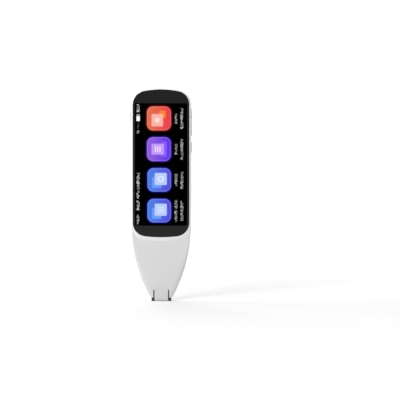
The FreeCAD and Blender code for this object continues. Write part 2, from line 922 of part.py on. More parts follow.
def key(side, low, high, proud, flange_gap, nubs, travel):
    """A side key: round-ended cap through the wall, flange behind it and nubs inside."""
    face = half_width + proud
    flange_face = inner_side - flange_gap
    flange_back = flange_face - key_flange_thickness
    cap = box(flange_face - key_flange_thickness / 2, face, key_y - key_width / 2, key_y + key_width / 2, low, high)
    cap = cap.makeFillet(key_width / 2 * 0.99, edges_along(cap, "x"))
    crest = [e for e in cap.Edges if e.BoundBox.XMin > face - key_chamfer / 2]
    cap = cap.makeChamfer(key_chamfer, crest)
    flange = box(flange_back, flange_face, key_y - key_width / 2 - key_flange_overhang,
                 key_y + key_width / 2 + key_flange_overhang, low - key_flange_overhang,
                 high + key_flange_overhang)
    pieces = [cap, flange]
    for z in nubs:
        pieces.append(box(switch_face + travel, flange_face - key_flange_thickness / 2, key_y - nub_half,
                          key_y + nub_half, z - nub_half, z + nub_half))
    shape = fuse(pieces)
    return shape if side > 0 else mirror_x(shape)


def volume_rocker():
    """Long key that rocks about its middle."""
    swing = math.sin(math.radians(rocker_tilt)) * (rocker_high - rocker_height + key_flange_overhang)
    nubs = (rocker_height - rocker_arm, rocker_height + rocker_arm)
    return key(1, rocker_low, rocker_high, rocker_proud, swing + rocker_play, nubs, rocker_swing + nib_bond)


def power_key():
    """Short key on the right side."""
    return key(1, power_low, power_high, power_proud, key_flange_gap, (power_height,), key_travel)


def side_key():
    """Short key on the left side."""
    return key(-1, side_key_low, side_key_high, side_key_proud, key_flange_gap, (side_key_height,), key_travel)


def key_switches():
    """Four push switches behind the side keys."""
    places = [
        (1, rocker_height - rocker_arm),
        (1, rocker_height + rocker_arm),
        (1, power_height),
        (-1, side_key_height),
    ]
    switches = []
    for side, z in places:
        base = box(switch_root, switch_root + switch_height, key_y - switch_depth / 2, key_y + switch_depth / 2,
                   z - switch_length / 2, z + switch_length / 2)
        plunger = many_sided(switch_plunger_radius, (switch_root + switch_height - switch_air, key_y, z), (1, 0, 0),
                             switch_plunger + switch_air)
        switch = fuse([base, plunger])
        switches.append(switch if side > 0 else mirror_x(switch))
    return Part.Compound(switches)


def key_flex(side):
    """Flex strip between the chassis flange and the switches of one side."""
    start = flange_inner + flange_thickness + key_flex_air
    strip = box(start, start + key_flex_thickness, key_y - key_flex_width / 2, key_y + key_flex_width / 2,
                flange_low + key_flex_end, flange_high - key_flex_end)
    return strip if side > 0 else mirror_x(strip)


def camera_bezel():
    """Raised ring round the rear camera's window, with a seat for the window."""
    front = bezel_rear_y - bezel_depth
    ring = pane(0, island_height, island_width, island_length, island_corner - fit_gap / 2, front, bezel_rear_y)
    crest = [e for e in ring.Edges if e.BoundBox.YMin > bezel_rear_y - bezel_chamfer / 2]
    ring = ring.makeChamfer(bezel_chamfer, crest)
    seat = window_rear_y - window_thickness - window_seat_air
    ring = ring.cut(pane(0, island_height, island_width - 2 * bezel_wall, island_length - 2 * bezel_wall,
                         island_corner - bezel_wall, seat, outside))
    inner = bezel_wall + bezel_seat
    return ring.cut(box(-island_width / 2 + inner + bezel_seat, island_width / 2 - inner - bezel_seat, 0, outside,
                        island_height - island_length / 2 + inner, island_height + island_length / 2 - inner))


def camera_window():
    """Dark window in the camera ring."""
    margin = 2 * bezel_wall + fit_gap
    return pane(0, island_height, island_width - margin, island_length - margin,
                island_corner - bezel_wall - fit_gap / 2, window_rear_y - window_thickness, window_rear_y)


def camera_module():
    """Camera: square base, lens holder and barrel with its hollow front."""
    half = camera_side / 2
    top = camera_base_y + camera_base_height
    base = box(camera_x - half, camera_x + half, camera_base_y, top, island_height - half, island_height + half)
    barrel = many_sided(camera_barrel_radius, (camera_x, top, island_height), (0, 1, 0), lens_limit_y - top,
                        barrel_sides)
    eye = many_sided(camera_eye_radius, (camera_x, lens_limit_y - camera_eye_depth, island_height), (0, 1, 0),
                     half_width, barrel_sides)
    return fuse([base, barrel]).cut(eye)


def camera_flex():
    """Ribbon from the camera to the board."""
    low = board_low + camera_plug_rise
    back = camera_base_y - lens_air
    half = camera_flex_width / 2
    return ribbon([(back, island_height - camera_side / 2), (back, low + 3 * plug_length),
                   (plug_y + flex_air, low + 1.5 * plug_length), (plug_y + flex_air, low + plug_length / 2)],
                  flex_thickness, camera_x - half, camera_x + half)


def flash_led():
    """Small lamp beside the camera."""
    half = flash_side / 2
    shoulder = lens_limit_y - cone_depth
    base = box(flash_x - half, flash_x + half, camera_base_y + camera_base_height, shoulder, island_height - half,
               island_height + half)
    lens = many_sided(flash_lens_radius, (flash_x, shoulder, island_height), (0, 1, 0), cone_depth)
    return fuse([base, lens])


def speaker_box():
    """Loudspeaker chamber with the recess of its cone."""
    chamber = box(-speaker_width / 2, speaker_width / 2, speaker_rear_y - speaker_thickness, speaker_rear_y,
                  speaker_height - speaker_length / 2, speaker_height + speaker_length / 2)
    return chamber.cut(box(-cone_width / 2, cone_width / 2, speaker_rear_y - cone_depth, outside,
                           speaker_height - cone_length / 2, speaker_height + cone_length / 2))


def speaker_mesh():
    """Dust mesh between the loudspeaker and the holes."""
    half = speaker_width / 2 - mesh_margin
    long_half = speaker_length / 2 - mesh_margin
    top = speaker_pocket_y - mesh_air
    return box(-half, half, top - mesh_thickness, top, speaker_height - long_half, speaker_height + long_half)


def main_board():
    """Circuit board behind the chassis."""
    board = box(-board_half_width, board_half_width, board_front_y, board_back_y, board_low, board_high)
    return board.makeChamfer(board_corner, edges_along(board, "y"))


def shield_cans():
    """Two metal cans over the processor and the radio."""
    low = board_low + can_rise
    left = box(-board_half_width + can_margin, -board_half_width + can_margin + can_width, board_back_y,
               board_back_y + can_height, low, low + can_length)
    right = box(board_half_width - can_margin - can_width, board_half_width - can_margin, board_back_y,
                board_back_y + can_height, low, low + can_length)
    return Part.Compound([can.makeChamfer(can_height / 5, can.Faces[3].Edges) for can in (left, right)])


def board_plugs():
    """Board connectors for battery, reading head, camera and side keys."""
    spots = (
        (0, battery_plug_width, battery_plug_rise),
        (0, battery_plug_width, reader_plug_rise),
        (camera_x, camera_flex_width, camera_plug_rise),
        (side_plug_x, side_plug_width, camera_plug_rise),
    )
    plugs = []
    for x, width, rise in spots:
        plugs.append(box(x - width / 2, x + width / 2, board_back_y, plug_y, board_low + rise,
                         board_low + rise + plug_length))
    return Part.Compound(plugs)


def usb_socket():
    """USB-C receptacle: drawn metal shell with the contact tongue inside."""
    mouth = top_height - usb_mouth_inset
    back = mouth - usb_depth
    centre = board_back_y + usb_thickness / 2

    def stadium(inset, low, high):
        half = usb_width / 2 - inset
        deep = usb_thickness / 2 - inset
        block = box(-half, half, centre - deep, centre + deep, low, high)
        return block.makeFillet(deep * 0.985, edges_along(block, "z"))
    shell = stadium(0, back, mouth).cut(stadium(usb_sheet, back + usb_back, outside))
    tongue = box(-usb_tongue_width / 2, usb_tongue_width / 2, centre - usb_tongue_thickness / 2,
                 centre + usb_tongue_thickness / 2, back + usb_back / 2, mouth - usb_tongue_inset)
    return fuse([shell, tongue])


def microphone():
    """Microphone can behind its slot in the left side, on a strip down from the keys."""
    face = -inner_side + mic_gap
    back = face + mic_thickness
    can = box(face, back, key_y - mic_width / 2, key_y + mic_width / 2, mic_height - mic_length / 2,
              mic_height + mic_length / 2)
    tail = box(back, back + key_flex_thickness, key_y - mic_width / 2, key_y + mic_width / 2,
               mic_height - mic_length / 2, flange_low + key_flex_end)
    return fuse([can, tail])


def battery_pouch():
    """Soft-cornered battery pouch."""
    pouch = box(-battery_half_width, battery_half_width, battery_front_y, battery_back_y, battery_low,
                battery_high)
    return pouch.makeFillet(battery_edge, edges_along(pouch, "z"))


def battery_board():
    """Protection board on the battery's upper end."""
    low = battery_high + guard_gap
    back = guard_y + guard_thickness
    board = box(-guard_half_width, guard_half_width, guard_y, back, low, low + guard_length)
    chip = box(-guard_chip_half, guard_chip_half, back, back + guard_chip_height, low + guard_gap,
               low + guard_length - guard_gap)
    return fuse([board, chip])


def battery_leads():
    """Two short wires from the protection board to the circuit board's connector."""
    low = battery_high + guard_gap + guard_length
    length = board_low + battery_plug_rise - low
    y = board_back_y + plug_height / 2
    return Part.Compound([many_sided(lead_radius, (side * lead_x, y, low), (0, 0, 1), length) for side in (-1, 1)])


def vibration_motor():
    """Coin motor on the inner face of the chin."""
    height = rim_low - motor_below_rim
    y = chin_y(height) + wall + motor_gap
    coin = many_sided(motor_radius, (motor_x, y, height), (0, 1, 0), motor_thickness, barrel_sides)
    tab = box(motor_x - motor_gap * 4, motor_x + motor_gap * 4, y, y + motor_gap, height, height + motor_radius * 1.3)
    return fuse([coin, tab])


def antenna_strip():
    """Flexible aerial on the inner right side."""
    face = inner_side - aerial_gap
    return box(face - aerial_thickness, face, key_y - aerial_width / 2, key_y + aerial_width / 2,
               battery_low + aerial_rise, battery_high - aerial_drop)


def nib_carrier():
    """Black sleeve that slides in the casing: side walls, feet, spring ears and posts."""
    half = carrier_half_width
    sleeve = box(-half, half, carrier_front_y, carrier_rear_y, 0, carrier_high)
    sleeve = sleeve.makeChamfer(carrier_corner, edges_along(sleeve, "z"))
    inner = half - carrier_side_wall
    between_feet = half - foot_width
    gate = 2 * light_gate_margin
    sleeve = sleeve.cut([
        box(-inner, inner, carrier_front_y + carrier_wall, carrier_rear_y - carrier_wall, -half, 2 * carrier_high),
        box(-between_feet, between_feet, -half_width, carrier_front_y + 2 * carrier_wall, -half, foot_height),
        box(-between_feet, between_feet, carrier_rear_y - 2 * carrier_wall, half_width, -half, window_low),
        pane(0, (window_low + window_high) / 2, 2 * window_half_width - gate, window_high - window_low - gate,
             window_corner - light_gate_margin / 2, carrier_rear_y - 2 * carrier_wall, half_width),
    ])
    ear = box(half - carrier_corner, ear_reach, optic_y - ear_half_depth, optic_y + ear_half_depth, ear_low, ear_high)
    outer = [e for e in edges_along(ear, "z") if e.BoundBox.XMin > half and e.BoundBox.YMin > optic_y]
    ear = ear.makeChamfer(ear_corner, outer)
    post = many_sided(post_radius, (spring_x, optic_y, ear_high - nib_gap), (0, 0, 1), post_length + nib_gap)
    return fuse([sleeve, ear, mirror_x(ear), post, mirror_x(post)])


def nib_tongue():
    """Pale tongue at the front that runs up behind the casing's arch."""
    tongue = across(tongue_profile(tongue_recess, carrier_front_y - nib_bond, tongue_low, tongue_high),
                    tongue_half_width)
    low_edges = [e for e in tongue.Edges
                 if e.BoundBox.ZMax < tongue_low + tongue_edge / 2 and e.BoundBox.YMax < carrier_front_y - nib_gap]
    return tongue.makeFillet(tongue_edge, low_edges)


def nib_frame():
    """Pale inverted U at the back that holds the reading window."""
    face_low = back_y(casing_end) - frame_recess
    plug = pane(0, 0, 2 * frame_half_width, 2 * frame_high, frame_corner, frame_near_y, half_width)
    plug = above(plug, 0)
    points = [
        Vector(0, frame_near_y, -casing_end),
        Vector(0, face_low - fit_gap, -casing_end),
        Vector(0, face_low, casing_end),
        Vector(0, back_y(frame_high) - frame_recess, frame_high + casing_end),
        Vector(0, frame_near_y, frame_high + casing_end),
    ]
    frame = plug.common(across(Part.Face(Part.makePolygon(points + [points[0]])), half_width))
    return frame.cut(pane(0, 0, 2 * window_half_width, 2 * window_high, window_corner, 0, half_width))


def scan_window():
    """Smoke-grey window in the U, with a bowed lower edge."""
    half = window_half_width - window_fit
    near = frame_near_y
    high = window_high - window_fit
    shoulder = half - window_corner
    bend = high - window_corner
    nip = window_corner * (1 - math.sqrt(0.5))
    left = Vector(-half, near, window_low + window_bow)
    right = Vector(half, near, window_low + window_bow)
    edges = [
        arc(left, Vector(0, near, window_low), right),
        line(right, Vector(half, near, bend)),
        arc(Vector(half, near, bend), Vector(half - nip, near, high - nip), Vector(shoulder, near, high)),
        line(Vector(shoulder, near, high), Vector(-shoulder, near, high)),
        arc(Vector(-shoulder, near, high), Vector(nip - half, near, high - nip), Vector(-half, near, bend)),
        line(Vector(-half, near, bend), left),
    ]
    return plate(Part.Wire(edges), back_y(casing_end) - frame_recess - window_sink - near)


def nib_springs():
    """Two compression springs between the carrier's ears and the guide, as sleeves of the
    coils' outer and inner size, since the casing hides them."""
    low = ear_high + spring_air
    length = guide_low - ear_high - 2 * spring_air
    sleeve = many_sided(spring_radius + spring_wire / 2, (spring_x, optic_y, low), (0, 0, 1), length)
    sleeve = sleeve.cut(many_sided(spring_radius - spring_wire / 2, (spring_x, optic_y, low), (0, 0, 1), length))
    return Part.Compound([sleeve, mirror_x(sleeve)])


def nib_guide():
    """Crosspiece that closes the nib's shaft and carries springs and reading camera."""
    guide = inner_casing(wall + guide_gap, cavity_end)
    guide = guide.common(box(-half_width, half_width, -half_width, half_width, guide_low, guide_low + guide_thickness))
    hole = many_sided(lens_radius + lens_hole_gap, (0, optic_y, 0), (0, 0, 1), 2 * guide_low, barrel_sides)
    guide = guide.cut(hole)
    post = many_sided(post_radius, (spring_x, optic_y, guide_low + guide_gap), (0, 0, -1), post_length + guide_gap)
    stand_low = guide_low + guide_thickness - guide_gap
    stand = many_sided(stand_radius, (stand_x, optic_y, stand_low), (0, 0, 1), lens_high - hood_air - stand_low)
    return fuse([guide, post, mirror_x(post), stand, mirror_x(stand)])


def scan_hood():
    """Dark light funnel between the lens and the nib's sleeve."""
    wide = carrier_half_width - carrier_side_wall - hood_gap
    front = carrier_front_y + carrier_wall + hood_gap
    rear = carrier_rear_y - carrier_wall - hood_gap
    bend = carrier_high + nib_travel
    top = guide_low - hood_air

    def funnel(inset, past):
        points = [(-wide + inset, hood_low - past), (wide - inset, hood_low - past), (wide - inset, bend),
                  (hood_neck - inset, top + past), (-hood_neck + inset, top + past), (-wide + inset, bend)]
        corners = [Vector(x, front + inset, z) for x, z in points]
        face = Part.Face(Part.makePolygon(corners + [corners[0]]))
        return face.extrude(Vector(0, rear - front - 2 * inset, 0))
    return funnel(0, 0).cut(funnel(hood_wall, hood_wall))


def scan_lens():
    """Lens barrel of the reading camera with its hollow front."""
    barrel = many_sided(lens_radius, (0, optic_y, lens_low), (0, 0, 1), lens_length, barrel_sides)
    return barrel.cut(many_sided(lens_eye_radius, (0, optic_y, lens_low), (0, 0, 1), lens_eye_depth, barrel_sides))


def scan_sensor_board():
    """Sensor board on top of the reading camera's lens barrel."""
    board = box(-sensor_half_width, sensor_half_width, optic_y - sensor_front, optic_y + sensor_rear, lens_high,
                sensor_high)
    chip = box(-sensor_chip_half, sensor_chip_half, optic_y - sensor_rear * 0.8, optic_y + sensor_rear * 0.8,
               sensor_high, sensor_high + sensor_chip_height)
    return fuse([board, chip])


def scan_flex():
    """Ribbon from the sensor board, behind the battery, up to the circuit board."""
    start = sensor_high + sensor_chip_height + flex_air
    from_y = optic_y + 1.0
    behind = battery_back_y + battery_lift
    plug_low = board_low + reader_plug_rise
    route = [(from_y, start), (from_y, start + reader_flex_bend), (behind, battery_low - reader_flex_below_battery),
             (behind, battery_high + battery_below_board - battery_edge), (plug_y + flex_air, plug_low),
             (plug_y + flex_air, plug_low + plug_length)]
    return ribbon(route, flex_thickness, -reader_flex_width / 2, reader_flex_width / 2)


def scan_leds():
    """Two lamps under the guide, beside the hood."""
    top = guide_low - hood_air
    lamp = box(reader_led_x - reader_led_half, reader_led_x + reader_led_half, optic_y - reader_led_depth / 2,
               optic_y + reader_led_depth / 2, top - reader_led_height, top)
    return Part.Compound([lamp, mirror_x(lamp)])


def nib_switch():
    """Switch under the guide that the carrier's front wall meets at full travel."""
    y = carrier_front_y + carrier_wall / 2
    meet = carrier_high + nib_travel
    deep = nib_plunger_half
    base = box(-nib_switch_half, nib_switch_half, y - deep * 1.25, y + deep * 0.75, meet + nib_switch_height,
               guide_low - hood_air)
    plunger = box(-nib_plunger_half, nib_plunger_half, y - deep / 2, y + deep / 2, meet + nib_switch_air,
                  meet + nib_switch_height)
    return fuse([base, plunger])


def main():
    """Build every piece and write it out."""
    solid = above(outer_casing(), casing_end / 2)
    cavity = inner_casing(wall, cavity_end)
    pieces = {
        "front_shell": front_shell(solid, cavity),
        "rear_shell": rear_shell(solid, cavity),
        "cover_glass": cover_glass(),
        "glass_adhesive": glass_adhesive(),
        "display_panel": display_panel(),
        "display_flex": display_flex(),
        "chassis": chassis(),
        "chassis_screws": chassis_screws(),
        "volume_rocker": volume_rocker(),
        "power_key": power_key(),
        "side_key": side_key(),
        "key_switches": key_switches(),
        "key_flex_right": key_flex(1),
        "key_flex_left": key_flex(-1),
        "camera_bezel": camera_bezel(),
        "camera_window": camera_window(),
        "camera_module": camera_module(),
        "camera_flex": camera_flex(),
        "flash_led": flash_led(),
        "speaker_box": speaker_box(),
        "speaker_mesh": speaker_mesh(),
        "main_board": main_board(),
        "shield_cans": shield_cans(),
        "board_plugs": board_plugs(),
        "usb_socket": usb_socket(),
        "microphone": microphone(),
        "battery_pouch": battery_pouch(),
        "battery_board": battery_board(),
        "battery_leads": battery_leads(),
        "vibration_motor": vibration_motor(),
        "antenna_strip": antenna_strip(),
        "nib_carrier": nib_carrier(),
        "nib_tongue": nib_tongue(),
        "nib_frame": nib_frame(),
        "scan_window": scan_window(),
        "nib_springs": nib_springs(),
        "nib_guide": nib_guide(),
        "nib_switch": nib_switch(),
        "scan_hood": scan_hood(),
        "scan_lens": scan_lens(),
        "scan_sensor_board": scan_sensor_board(),
        "scan_flex": scan_flex(),
        "scan_leds": scan_leds(),
    }
    os.makedirs("parts", exist_ok=True)
    for name, shape in pieces.items():
        shape.translate(Vector(0, 0, -grip_height))
        print(name, "solids", len(shape.Solids), "valid", shape.isValid(), "volume", round(shape.Volume, 2))
        shape.exportStep("parts/" + name + ".step")


main()
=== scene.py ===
# %% [markdown]
# # A handheld translator, dressed for its portrait
#
# The object is a flat white pen with a long black screen. Its shape comes from a CAD model that is
# already made: every moulding, key, screw and board is there as a separate mesh, at its real size.
# What Blender adds is what CAD can't show: the satin of the moulding, the lit picture under the
# glass, the weave of the dust mesh, a floor, soft lamps and a camera.
#
# The first cell loads the CAD meshes. They could be remodelled here by hand, but then two models
# would have to be kept alike, so they stay as they are and only get materials.

# %% Load the model
import bpy
import bmesh
import json
import math
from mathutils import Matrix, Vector


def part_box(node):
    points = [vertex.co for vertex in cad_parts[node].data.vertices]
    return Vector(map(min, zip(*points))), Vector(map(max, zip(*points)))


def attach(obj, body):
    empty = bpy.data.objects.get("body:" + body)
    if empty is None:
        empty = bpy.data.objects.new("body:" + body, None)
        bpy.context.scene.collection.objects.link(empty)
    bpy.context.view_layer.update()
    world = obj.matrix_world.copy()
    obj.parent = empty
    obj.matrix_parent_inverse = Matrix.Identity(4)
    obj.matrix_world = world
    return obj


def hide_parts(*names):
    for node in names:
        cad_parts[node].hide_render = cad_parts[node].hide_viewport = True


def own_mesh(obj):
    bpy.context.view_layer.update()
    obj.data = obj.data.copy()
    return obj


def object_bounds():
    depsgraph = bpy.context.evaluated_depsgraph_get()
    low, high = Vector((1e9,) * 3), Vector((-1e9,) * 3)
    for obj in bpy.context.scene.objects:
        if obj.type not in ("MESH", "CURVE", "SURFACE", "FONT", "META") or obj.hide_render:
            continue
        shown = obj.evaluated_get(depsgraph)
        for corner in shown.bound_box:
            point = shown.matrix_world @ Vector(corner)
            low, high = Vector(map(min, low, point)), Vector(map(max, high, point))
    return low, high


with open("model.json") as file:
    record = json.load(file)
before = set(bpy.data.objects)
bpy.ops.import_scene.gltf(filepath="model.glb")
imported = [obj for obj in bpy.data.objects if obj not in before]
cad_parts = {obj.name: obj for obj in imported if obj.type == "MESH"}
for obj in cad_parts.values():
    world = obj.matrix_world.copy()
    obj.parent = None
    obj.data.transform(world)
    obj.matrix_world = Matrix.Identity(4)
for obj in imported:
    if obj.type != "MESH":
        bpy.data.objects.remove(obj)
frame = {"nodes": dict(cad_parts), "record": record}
cad_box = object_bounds()
nodes = frame["nodes"]
mm = 0.001
print("pieces from CAD:", len(nodes))
print("box in mm:", [[round(v / mm, 2) for v in corner] for corner in cad_box])

# %% [markdown]
# ## The camera
#
# In the photograph one pixel is 0.66 mm, and the pen stands left of the middle. A long lens at
# three quarters of a metre sees it nearly straight on, and because the pen isn't in the middle of
# the picture, the lens also sees a thin strip of its right side, as in the photograph. The pen
# could be turned instead, but then the keys and the nib would all need a second place.
#
# The picture is 400 pixels wide, so the focal length follows from the width that it shows at the
# distance of the screen. The parts further back come out a hair smaller, as they do in the
# photograph.

# %% Camera
picture_pixels = 400
pixel_size = 0.66 * mm
pen_column = 161.05
tip_row = 301.7
camera_distance = 0.75
sensor_width = 36.0
screen_y = cad_box[0][1]
nib_end = cad_box[0][2]

shown_width = picture_pixels * pixel_size
aim_x = (picture_pixels / 2 - pen_column) * pixel_size
aim_z = nib_end + (tip_row - picture_pixels / 2) * pixel_size

lens = bpy.data.cameras.new("long_lens")
lens.sensor_width = sensor_width
lens.lens = sensor_width * (camera_distance + screen_y) / shown_width
lens.clip_start = 0.05
lens.clip_end = 20.0
camera = bpy.data.objects.new("camera", lens)
camera.location = (aim_x, -camera_distance, aim_z)
camera.rotation_euler = (math.radians(90), 0, 0)
bpy.context.scene.collection.objects.link(camera)
bpy.context.scene.camera = camera
bpy.context.scene.view_settings.view_transform = "Standard"
print("focal length", round(lens.lens, 1), "mm, shown width", round(shown_width / mm, 1), "mm")

# %% [markdown]
# ## Writing shader sums as Python
#
# A procedural material is a network of nodes, and a long one is hard to read when each Math node is
# made and wired by hand. So three small classes do the wiring. A `Signal` is the output of some
# node: when Python adds, multiplies or compares Signals, the class adds the Math node that does the
# same. A `Network` is a tree of nodes, and its `node` method makes every other kind of node. A
# `Finish` is the network of one material, with the few things that all materials need.

# %% Signals
class Signal:
    """One output of a node; sums on it become Math nodes."""

    def __init__(self, network, socket):
        self.network = network
        self.socket = socket

    def math(self, operation, *values):
        return self.network.node("ShaderNodeMath", {"operation": operation}, dict(enumerate(values)))

    def beside(self, name):
        """Another output of the same node."""
        return Signal(self.network, self.socket.node.outputs[name])

    def __add__(self, other):
        return self.math("ADD", self, other)

    def __radd__(self, other):
        return self.math("ADD", other, self)

    def __sub__(self, other):
        return self.math("SUBTRACT", self, other)

    def __rsub__(self, other):
        return self.math("SUBTRACT", other, self)

    def __mul__(self, other):
        return self.math("MULTIPLY", self, other)

    def __rmul__(self, other):
        return self.math("MULTIPLY", other, self)

    def __truediv__(self, other):
        return self.math("DIVIDE", self, other)

    def __rtruediv__(self, other):
        return self.math("DIVIDE", other, self)

    def __pow__(self, other):
        return self.math("POWER", self, other)

    def __rpow__(self, other):
        return self.math("POWER", other, self)

    def __abs__(self):
        return self.math("ABSOLUTE", self)

    def __lt__(self, other):
        return self.math("LESS_THAN", self, other)

    def __gt__(self, other):
        return self.math("GREATER_THAN", self, other)

    def floor(self):
        return self.math("FLOOR", self)

    def wave(self):
        return self.math("SINE", self)

    def root(self):
        return self.math("SQRT", self)

    def least(self, other):
        return self.math("MINIMUM", self, other)

    def most(self, other):
        return self.math("MAXIMUM", self, other)


# %% [markdown]
# `node` sets a node's settings first, because some of them change which sockets it has, and then
# fills its inputs. It gives back one output of what it made, so that calls can stand inside each
# other. Blender lays new nodes on top of each other, so a count spreads them over rows, where they
# can be read.

# %% Networks
nodes_in_row = 12
node_step = (220, -260)


class Network:
    """A tree of nodes."""

    def __init__(self, tree):
        self.tree = tree
        self.tree.nodes.clear()
        self.count = 0

    def node(self, kind, settings=None, inputs=None, output=0):
        """Make a node, set it, fill its inputs and return one of its outputs."""
        made = self.tree.nodes.new(kind)
        row, column = divmod(self.count, nodes_in_row)
        made.location = (node_step[0] * column, node_step[1] * row)
        self.count += 1
        for key, value in (settings or {}).items():
            setattr(made, key, value)
        for key, value in (inputs or {}).items():
            socket = made.inputs[key]
            if isinstance(value, Signal):
                self.tree.links.new(value.socket, socket)
            else:
                socket.default_value = value
        return Signal(self, made.outputs[output]) if made.outputs else None

    def seen(self):
        """1 for what the camera sees, straight, in a reflection or through glass."""
        path = self.node("ShaderNodeLightPath", output="Is Camera Ray")
        return path.most(path.beside("Is Glossy Ray")).most(path.beside("Is Transmission Ray"))

    def mix(self, mask, first, second):
        """The first shader where the mask is 0, the second where it is 1."""
        return self.node("ShaderNodeMixShader", None, {0: mask, 1: first, 2: second})


# %% [markdown]
# `place` gives the three coordinates of a point in millimetres, so that a screen tile or a weave can
# be written in the sizes of the object. Heights are counted from the nib's end, as on a drawing, and
# `lift` turns them into the model's z, whose zero lies in the hand's grip. `tint` mixes two colours:
# a Math node would turn a colour grey, so colours have their own method. The Mix node keeps a set of
# sockets for each kind of value, and those for colours have the numbers that stand below.

# %% Finishes
grip = -nib_end / mm
mix_factor, mix_first, mix_second, mixed_colour = 0, 6, 7, 2
pure_white = (1, 1, 1, 1)


def lift(height):
    """Height above the nib's end as z in the model, in millimetres."""
    return height - grip


def reach(across, up):
    """Distance from the middle of two axes."""
    return (across * across + up * up).root()


def grey(value):
    """A colour whose red, green and blue are the same."""
    return (value, value, value, 1)


def shifted(colour, step):
    """A colour of 0 to 255 with the same step added to each part."""
    return [c + step for c in colour]


def linear(colour):
    """A colour of 0 to 255, as seen on a screen, turned into light by the sRGB standard's curve."""
    parts = [c / 255 for c in colour]
    return tuple(c / 12.92 if c <= 0.04045 else ((c + 0.055) / 1.055) ** 2.4 for c in parts) + (1.0,)


class Finish(Network):
    """One material, and the nodes in it."""

    def __init__(self, name):
        self.material = bpy.data.materials.new(name)
        self.material.use_nodes = True
        super().__init__(self.material.node_tree)

    def place(self):
        """The point's x, y and z in millimetres."""
        point = self.node("ShaderNodeTexCoord", output="Object")
        parts = self.node("ShaderNodeSeparateXYZ", None, {0: point})
        return [parts.beside(axis) * (1 / mm) for axis in "XYZ"]

    def noise(self, grain, detail=2.0, roughness=0.5, stretch=None):
        """Soft noise whose patches are about grain millimetres wide."""
        point = self.node("ShaderNodeTexCoord", output="Object")
        if stretch:
            point = self.node("ShaderNodeMapping", {"vector_type": "POINT"},
                              {"Vector": point, "Scale": stretch})
        return self.node("ShaderNodeTexNoise", {"noise_dimensions": "3D"},
                         {"Vector": point, "Scale": 1 / (grain * mm), "Detail": detail,
                          "Roughness": roughness})

    def tint(self, mask, first, second):
        """first where the mask is 0, second where it is 1."""
        return self.node("ShaderNodeMix", {"data_type": "RGBA", "clamp_factor": True},
                         {mix_factor: mask, mix_first: first, mix_second: second}, output=mixed_colour)

    def ease(self, value, start, end):
        """0 on start's side, 1 on end's side and a smooth step between; start may be the larger."""
        return self.node("ShaderNodeMapRange", {"interpolation_type": "SMOOTHSTEP"},
                         {"Value": value, "From Min": start, "From Max": end, "To Min": 0.0, "To Max": 1.0})

    def bump(self, height, depth, strength):
        """A surface normal from a height of 0 to 1 that is depth millimetres deep."""
        return self.node("ShaderNodeBump", None,
                         {"Height": height, "Distance": depth * mm, "Strength": strength})

    def shader(self, **inputs):
        """A Principled shader; in a socket's name an underscore stands for a space."""
        return self.node("ShaderNodeBsdfPrincipled", None,
                         {key.replace("_", " "): value for key, value in inputs.items()})

    def done(self, surface):
        """Wire the surface to the output."""
        self.node("ShaderNodeOutputMaterial", None, {"Surface": surface})
        print("finish", self.material.name, "with", len(self.tree.nodes), "nodes")
        return self.material


# %% [markdown]
# ## Satin white moulding
#
# The shells and keys are moulded in white plastic from a tool whose faces were eroded with sparks,
# which leaves a fine, even grain. A grain could be modelled with displacement, but one that is a
# hundredth of a millimetre deep never changes the outline, so a bump is enough. The gloss of such a
# surface isn't even, because hands touch some places more than others, so a wide soft noise moves
# the roughness.
#
# The rim round the glass is different. Its bevel is polished in the tool, and its colour is painted a
# paler white than the rest, as a highlight, so that it shines brighter. The rim is everything that
# stands further forward than the chin, so a comparison on the depth finds it, and a Mix Shader swaps
# the satin for the polish and the highlight there.
#
# On the back, the shallow rest for the forefinger has a rougher face, and its colour is painted a
# little greyer as the shade in the recess; an ellipse in x and z marks it out. The nib gets half of
# that rougher, greyer look over its last millimetre, where paper rubs it.

# %% White case
rim_foot_y = -5.63
rest_height = 30.4
rest_half = (6.6, 3.8)
rest_edge = (1.08, 0.86)
nib_rub_height, nib_rub_cover = 0.9, 0.5


def satin(finish, colour, gloss, wear_and_painted_shade):
    """The grained moulding as a shader; the mask makes a place rougher and greyer, for wear and painted
    shade.
    """
    handled = finish.noise(18.0)
    grain = finish.noise(0.16, detail=3.0, roughness=0.6)
    flow = finish.noise(55.0, detail=1.0, roughness=0.4)
    plain = finish.tint(flow, linear(colour), linear(shifted(colour, -5)))
    # Where the mask is 1 the colour is greyer: wear at the nib, painted shade on the finger rest.
    return finish.shader(
        Base_Color=finish.tint(wear_and_painted_shade, plain, linear(shifted(colour, -16))),
        Roughness=gloss + 0.10 * handled + 0.05 * grain + 0.2 * wear_and_painted_shade,
        Normal=finish.bump(grain, depth=0.006, strength=0.35))


def white_moulding(name, colour, gloss):
    """The shells' moulding: polished, and painted paler as a highlight, on the rim; rougher, and painted
    greyer as shade, on the finger rest; satin elsewhere.
    """
    finish = Finish(name)
    x, y, z = finish.place()
    # The finger rest: rougher, and painted greyer as the shade in its recess.
    away = reach(x / rest_half[0], (z - lift(rest_height)) / rest_half[1])
    rest = finish.ease(away, *rest_edge) * (y > 0.0)
    wipe = finish.noise(9.0)
    # The rim: real polish and coat, and a paler white painted in as a highlight.
    polish_and_highlight = finish.shader(
        Base_Color=finish.tint(wipe, linear((253, 253, 254)), linear((249, 249, 250))),
        Roughness=0.10 + 0.08 * wipe,
        Specular_IOR_Level=1.0,
        Coat_Weight=1.0,
        Coat_Roughness=0.08,
        Normal=finish.bump(wipe, depth=0.01, strength=0.2))
    return finish.done(finish.mix(y < rim_foot_y, satin(finish, colour, gloss, rest), polish_and_highlight))


def pale_moulding(name, colour, gloss):
    """The nib's moulding: a little greyer and rougher at its very end."""
    finish = Finish(name)
    z = finish.place()[2]
    rubbed = finish.ease(z, lift(nib_rub_height), lift(0.0)) * nib_rub_cover
    return finish.done(satin(finish, colour, gloss, rubbed))


white_case = white_moulding("white_case", (240, 240, 241), gloss=0.30)
pale_nib = pale_moulding("pale_nib", (238, 238, 240), gloss=0.24)

